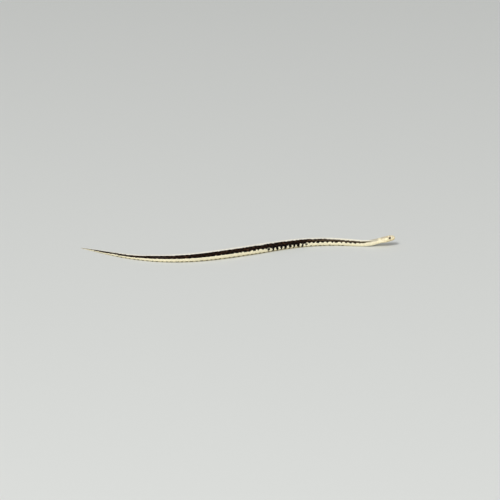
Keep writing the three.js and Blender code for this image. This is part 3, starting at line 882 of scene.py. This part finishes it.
def head_rim(name, middle_s, middle_z, radius, thick, side, lift):
    """A fine fold of skin around the eye or the nostril"""
    bpy.ops.object.select_all(action="DESELECT")
    bpy.ops.mesh.primitive_torus_add(
        major_segments=RIM_SEGMENTS[0], minor_segments=RIM_SEGMENTS[1],
        major_radius=radius, minor_radius=thick,
    )
    rim = bpy.context.object
    rim.name = name
    torus = get_points(rim)
    s = middle_s - torus[:, 0]
    t = np.mod(turn_at_height(s, middle_z + torus[:, 1]) * side, 2)
    set_points(rim, bend(s, *section(s, t, torus[:, 2] + lift)))
    set_lie(rim, s, t, EVEN_CHANCE, RIM_SHADE)
    face_outwards()
    bpy.ops.object.shade_smooth()
    set_material(rim, skin_material)
    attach(rim, "root")


for label, side in (("left", 1), ("right", -1)):
    eye_radius = EYE_SIZE[0] - EYE_RIM_INSIDE
    head_rim(f"eye_rim_{label}", EYE_AT[0], EYE_AT[2], eye_radius, EYE_RIM_THICK, side, EYE_RIM_LIFT)
    head_rim(
        f"nostril_rim_{label}", *NOSTRIL_AT, NOSTRIL_RADIUS, NOSTRIL_RIM_THICK, side, NOSTRIL_RIM_LIFT,
    )

# Back and flank scales
# Rows of keeled scales of horn cover the back and flanks, each overlapping the next one behind it like tiles.
# There are 19 rows around the thick of the body, fewer behind, and one ring of them to every belly scute.

VENTRAL_START = 22
VENTRAL_PITCH = (1.28, 1.68)
SUBCAUDAL_PITCH = (0.6, 1.55)
THICKEST_AT = 160
SCUTES_END = LENGTH - 4
NECK_RINGS = 9
NECK_PITCH = 1.36
LAST_RINGS = 4
LAST_PITCH = 0.8
SCALE_GRID = (6, 5)
SCALE_LONG = 1.5
SCALE_BROAD = 1.32
SCALE_ROOT = 0.25
KEEL_BROAD = 0.14
KEEL_HIGH = 0.04
SMALLEST_SIZE = 0.2
FIRST_SCALE_ROOM = 0.3
LAST_SCALE_ROOM = 0.5
TIP_OVERLAP = 0.2
COVERED = (0.25, 0.55)
COVERED_SHADE = 0.75
THIN_EDGE = (0.7, 1)
THIN_EDGE_SHADE = 0.5
SCALE_PATCH = 0.003
SCALE_ROWS = 9
ROW_ENDS = {6: 165, 5: 262, 7: 268, 4: 277, 8: 290, 3: 305, 9: 322}
ROW_FADE = 3
NARROWEST_ROW = 0.35
BODY_ENDS = {
    "neck": 45, "body_1": 97, "body_2": 150, "body_3": 204, "body_4": VENT, "tail_1": 296, "tail_2": LENGTH,
}


def tile_pattern(columns, rows):
    """The pattern of a thin tile: a gridded top one unit above a plain floor"""
    bpy.ops.object.select_all(action="DESELECT")
    bpy.ops.mesh.primitive_grid_add(x_subdivisions=columns, y_subdivisions=rows, size=1)
    tile = bpy.context.object
    bpy.ops.object.mode_set(mode="EDIT")
    bpy.ops.mesh.select_all(action="SELECT")
    bpy.ops.mesh.extrude_region_move(TRANSFORM_OT_translate={"value": (0, 0, -1)})
    bpy.ops.mesh.dissolve_faces()
    face_outwards()
    return read_pattern(tile)


scale_plan = tile_pattern(*SCALE_GRID)
scute_edges = [VENTRAL_START]
while scute_edges[-1] < SCUTES_END:
    front = scute_edges[-1]
    share = half_width(front) / half_width(VENT if front > VENT else THICKEST_AT)
    low, high = SUBCAUDAL_PITCH if front > VENT else VENTRAL_PITCH
    scute_edges.append(front + low + (high - low) * float(share))
scute_edges = np.array(scute_edges)
neck_edges = VENTRAL_START - np.arange(NECK_RINGS, 0, -1) * NECK_PITCH
last_edges = scute_edges[-1] + np.arange(1, LAST_RINGS + 1) * LAST_PITCH
ring_edges = np.concatenate([neck_edges, scute_edges, last_edges])


def tile_size(s):
    """Share of the full thickness that scales and scutes have where the tail is thin"""
    return np.clip(skin_depth(s) / SKIN_DEPTH, SMALLEST_SIZE, 1)


def scale_points(scales):
    """Points of scales, given by their middles' s and t, lengths in mm, breadths in turns and keels"""
    plan = scale_plan[0]
    middle_s, middle_t, long, broad, keel = scales[:, :, None]
    u = plan[:, 1] + 0.5
    v = plan[:, 0] * 2
    # Columns close to the keel, an outline that is blunt in front and pointed behind, and the keel itself
    v = np.sign(v) * np.interp(np.abs(v), (0, 1 / 3, 2 / 3, 1), (0, 0.16, 0.6, 1))
    reach = np.maximum(np.sin(np.pi * np.clip(0.1 + 0.9 * u, 0, 1) ** 0.8), 0) ** 0.7
    reach = np.maximum(reach, 0.14)
    ridge = np.exp(-(v / KEEL_BROAD) ** 2) * np.interp(u, (0, 0.2, 0.8, 1), (0, 1, 1, 0.6))
    s = middle_s + (u - 0.5) * long
    t = middle_t + v * reach * broad / 2
    # The top rises backwards and falls to its sides
    top = -0.18 + 0.13 * u - 0.045 * v ** 2 + ridge * keel * KEEL_HIGH
    raised = np.where(plan[:, 2] > -0.5, top, -SCALE_ROOT) * tile_size(middle_s)
    return np.minimum(s, SKIN_END + TIP_OVERLAP), t, raised


# Painted shade darkens a scale where the one before it covers it, and along its thin edge
scale_u = scale_plan[0][:, 1] + 0.5
scale_edge = np.maximum(np.abs(scale_plan[0][:, 0]) * 2, (scale_plan[0][:, 2] < -0.5) * 1.0)
scale_shade = np.maximum(
    COVERED_SHADE * (1 - ease(scale_u, *COVERED)), THIN_EDGE_SHADE * ease(scale_edge, *THIN_EDGE),
)


def first_scale(t):
    """Where the scales begin behind the shields of the head"""
    turn = np.minimum(t % 2, 2 - t % 2)
    turns = (0, 0.05, 0.1, 0.2, 0.3, 0.4, 0.47, 0.72)
    return np.interp(turn, turns, (10.7, 11, 10.6, 10.8, 11.2, 11.6, 13, 13.1))


def row_shares(s):
    """Breadth of each row as a share of a full one, from the half row on the back to the lowest"""
    ends = np.array([ROW_ENDS.get(row, 2 * LENGTH) for row in range(SCALE_ROWS + 1)])
    shares = 1 - ease(s, ends - ROW_FADE, ends + ROW_FADE)
    shares[0] = 0.5
    return shares


# Each scale's middle as s and t, its length, breadth and keel
scales = []
for front, rear in zip(ring_edges, ring_edges[1:]):
    pitch = rear - front
    for row in range(-SCALE_ROWS, SCALE_ROWS + 1):
        s = front + pitch * (0.5 if row % 2 else 1)
        shares = row_shares(s)
        own_share = shares[abs(row)]
        if own_share < NARROWEST_ROW:
            continue
        middle = 0 if row == 0 else (shares[:abs(row)].sum() + own_share / 2) / shares.sum()
        t = middle * SCALED_EDGE * np.sign(row)
        if s < first_scale(t) + pitch * FIRST_SCALE_ROOM or s > SKIN_END - LAST_SCALE_ROOM:
            continue
        broad = own_share * (2 if row == 0 else 1) / shares.sum() * SCALED_EDGE
        keel = 0.5 if abs(row) == SCALE_ROWS else 1
        scales.append((s, t % 2, pitch * SCALE_LONG, broad * SCALE_BROAD, keel))

# Small smooth scales fill the throat between the chin shields and the first belly scute
GULAR_PITCH = 0.98
GULAR_BROAD = 0.078
GULAR_SPAN = (6.4, 17.5)
GULAR_COLUMNS = 5
GULAR_LAST = 17.3
GULAR_EDGE = 0.7
for rank, s in enumerate(np.arange(*GULAR_SPAN, GULAR_PITCH)):
    for step in range(GULAR_COLUMNS):
        turn = 1 - (step + (rank % 2) / 2) * GULAR_BROAD
        starts = np.interp(turn, (0.7, 0.73, 0.77, 0.82, 0.87, 0.94, 1), (6.6, 7.6, 9.4, 9.6, 9.4, 8.5, 8.3))
        if turn < GULAR_EDGE or s < starts or s > GULAR_LAST - 10 * (turn - 0.9) ** 2:
            continue
        # A scale on the middle of the throat is its own mirror image
        for t in {turn, 2 - turn}:
            scales.append((s, t, GULAR_PITCH * 2, GULAR_BROAD * SCALE_BROAD, 0))
scales = np.array(scales).T

start = 0
for stretch_name, end in BODY_ENDS.items():
    chosen = scales[:, (scales[0] >= start) & (scales[0] < end)]
    start = end
    s, t, raised = scale_points(chosen)
    middle_s, middle_t, long, broad = chosen[:4, :, None]
    corner = np.stack([(s - middle_s) / long, (t - middle_t) / broad], -1)
    patches = np.stack([middle_s / LENGTH, middle_t / 2], -1) + corner * SCALE_PATCH
    points = bend(s, *section(s, t, raised))
    coat = joined_copies(
        f"scales_{stretch_name}", scale_plan, (s + middle_s) / 2, (t + middle_t) / 2,
        rng.random(len(s)), scale_shade, points, patches,
    )

# Belly scutes
# Broad smooth plates of horn, one to each rib, overlap from the throat to the vent and carry the snake on the
# floor with their flat rear halves. One undivided plate covers the vent, and the tail has them in pairs.

SCUTE_GRID = (14, 5)
SCUTE_EDGE = 0.7
THROAT_SCUTES = 5
THROAT_PITCH = 1.4
THROAT_FADE = (14, 22)
THROAT_NARROWER = 0.14
SCUTE_ROOT = 0.23
SCUTE_OVER_FRONT = 0.12
SCUTE_LONG = 1.16
SCUTE_COVERED = (0, 0.35)
SCUTE_SHADE = 0.6
SCUTE_PATCH = 0.0015
VENT_PLATE_END = VENT + 1.5
scute_plan = tile_pattern(*SCUTE_GRID)


def scute_points(scutes):
    """Points of belly scutes, given by their front and rear edges and by the turns they span"""
    plan = scute_plan[0]
    front, rear, from_t, to_t = scutes[:, :, None]
    u = plan[:, 1] + 0.5
    v = plan[:, 0] * 2
    pitch = rear - front
    rounding = 0.35 * np.abs(v) ** 6 * (u - 0.5)
    s = front - SCUTE_OVER_FRONT * pitch + SCUTE_LONG * pitch * (u - rounding)
    t = (from_t + to_t) / 2 + v * (to_t - from_t) / 2
    # The front dips under the scute before it, the rear is flat, and the sides fall to the skin
    top = -0.13 * (1 - ease(u, 0, 0.6)) - 0.1 * np.abs(v) ** 10
    raised = np.where(plan[:, 2] > -0.5, top, -SCUTE_ROOT) * tile_size(s)
    return np.minimum(s, SKIN_END), t, raised


throat_edges = VENTRAL_START - np.arange(THROAT_SCUTES, 0, -1) * THROAT_PITCH
ventral_edges = np.concatenate([throat_edges, scute_edges[scute_edges < VENT_PLATE_END]])
tail_edges = scute_edges[scute_edges >= ventral_edges[-1]]

# Each scute's front and rear edge and the turns that it spans. The right one of each pair under the tail lies
# half a scute further back.
spans = []
for front, rear in zip(ventral_edges, ventral_edges[1:]):
    edge = SCUTE_EDGE + THROAT_NARROWER * (1 - ease(front, *THROAT_FADE))
    spans.append((front, rear, edge, 2 - edge))
for front, rear in zip(tail_edges, tail_edges[1:]):
    half = (rear - front) / 2
    spans.append((front, rear, SCUTE_EDGE, 1))
    spans.append((front + half, rear + half, 1, 2 - SCUTE_EDGE))
s, t, raised = scute_points(np.array(spans).T)
middle_s, middle_t = s.mean(axis=1)[:, None], t.mean(axis=1)[:, None]
corner = np.stack([s - middle_s, (t - middle_t) * 3], -1)
patches = np.stack([middle_s / LENGTH, middle_t / 2], -1) + corner * SCUTE_PATCH
# Painted shade darkens the front of each scute, where it dips under the one before it
scute_shade = SCUTE_SHADE * (1 - ease(scute_plan[0][:, 1] + 0.5, *SCUTE_COVERED))
points = bend(s, *section(s, t, raised))
scutes = joined_copies("belly_scutes", scute_plan, s, t, rng.random(len(s)), scute_shade, points, patches)

# Tip of the tail
# The last scale is a small cone of horn that closes the tail and ends in a blunt point.
# It grows out of the last rings of scales.

TIP_SEGMENTS = 24
TIP_HALF_LONG = 1.8
TIP_WIDE = 0.27
TIP_HIGH = 0.24
TIP_TAPER = 0.35
TIP_SHADE = 0.1
bpy.ops.object.select_all(action="DESELECT")
bpy.ops.mesh.primitive_uv_sphere_add(segments=TIP_SEGMENTS, ring_count=TIP_SEGMENTS, radius=1)
tip = bpy.context.object
tip.name = "tail_tip"
tip_x, tip_y, tip_z = get_points(tip).T
s = SKIN_END + TIP_HALF_LONG * tip_z
slim = 1 - TIP_TAPER * np.maximum(tip_z, 0)
tip_turn = np.mod(np.arctan2(tip_x, tip_y) / np.pi, 2)
set_points(tip, bend(s, tip_x * TIP_WIDE * slim, back(SKIN_END) / 2 + tip_y * TIP_HIGH * slim))
set_lie(tip, s, tip_turn, EVEN_CHANCE, TIP_SHADE)
face_outwards()
bpy.ops.object.shade_smooth()
set_material(tip, skin_material)
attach(tip, "root")

# Floor, light and camera
# A pale matt studio floor with nothing behind it, one large soft light from the upper left and a weaker one
# opposite. The camera looks almost level along the floor, from the snake's right side.

FLOOR_SIZE = 12
FLOOR_GREY = paint("DADCD9")
FLOOR_ROUGHNESS = 0.8
STUDIO_GREY = paint("ECECEC")
STUDIO_STRENGTH = 0.4
bpy.ops.object.select_all(action="DESELECT")
bpy.ops.mesh.primitive_plane_add(size=FLOOR_SIZE)
floor = bpy.context.object
floor.name = "studio_floor"
floor_material, tree, shader = new_material("studio_floor")
shader.inputs["Base Color"].default_value = FLOOR_GREY
shader.inputs["Roughness"].default_value = FLOOR_ROUGHNESS
set_material(floor, floor_material)


def soft_light(name, place, energy, size):
    """A square light that shines on the middle of the floor"""
    bpy.ops.object.light_add(type="AREA", location=place)
    light = bpy.context.object
    light.name = name
    light.data.energy = energy
    light.data.size = size
    x, y, z = place
    light.rotation_euler = (math.atan2(math.hypot(x, y), z), 0, math.atan2(-y, -x) - math.pi / 2)


soft_light("key_light", place=(-2, -5, 4.6), energy=384, size=2)
soft_light("fill_light", place=(4.8, -2.4, 3.2), energy=70.4, size=4.8)

world = bpy.data.worlds.new("studio")
world.use_nodes = True
world.node_tree.nodes["Background"].inputs["Color"].default_value = STUDIO_GREY
world.node_tree.nodes["Background"].inputs["Strength"].default_value = STUDIO_STRENGTH
bpy.context.scene.world = world
bpy.context.scene.view_settings.view_transform = "Standard"

CAMERA_AIM = (0.01215, 0.01127)
CAMERA_ANGLE = 17.5
CAMERA_LENS = 250
CAMERA_FAR = 50
SENSOR = 36
VIEW_WIDTH = 0.5
camera_away = VIEW_WIDTH * CAMERA_LENS / SENSOR
tilt = math.radians(CAMERA_ANGLE)
bpy.ops.object.camera_add(
    location=(CAMERA_AIM[0], CAMERA_AIM[1] - camera_away * math.cos(tilt), camera_away * math.sin(tilt)),
    rotation=(math.pi / 2 - tilt, 0, 0),
)
camera = bpy.context.object
camera.data.lens = CAMERA_LENS
camera.data.sensor_width = SENSOR
camera.data.clip_end = CAMERA_FAR
bpy.context.scene.camera = camera
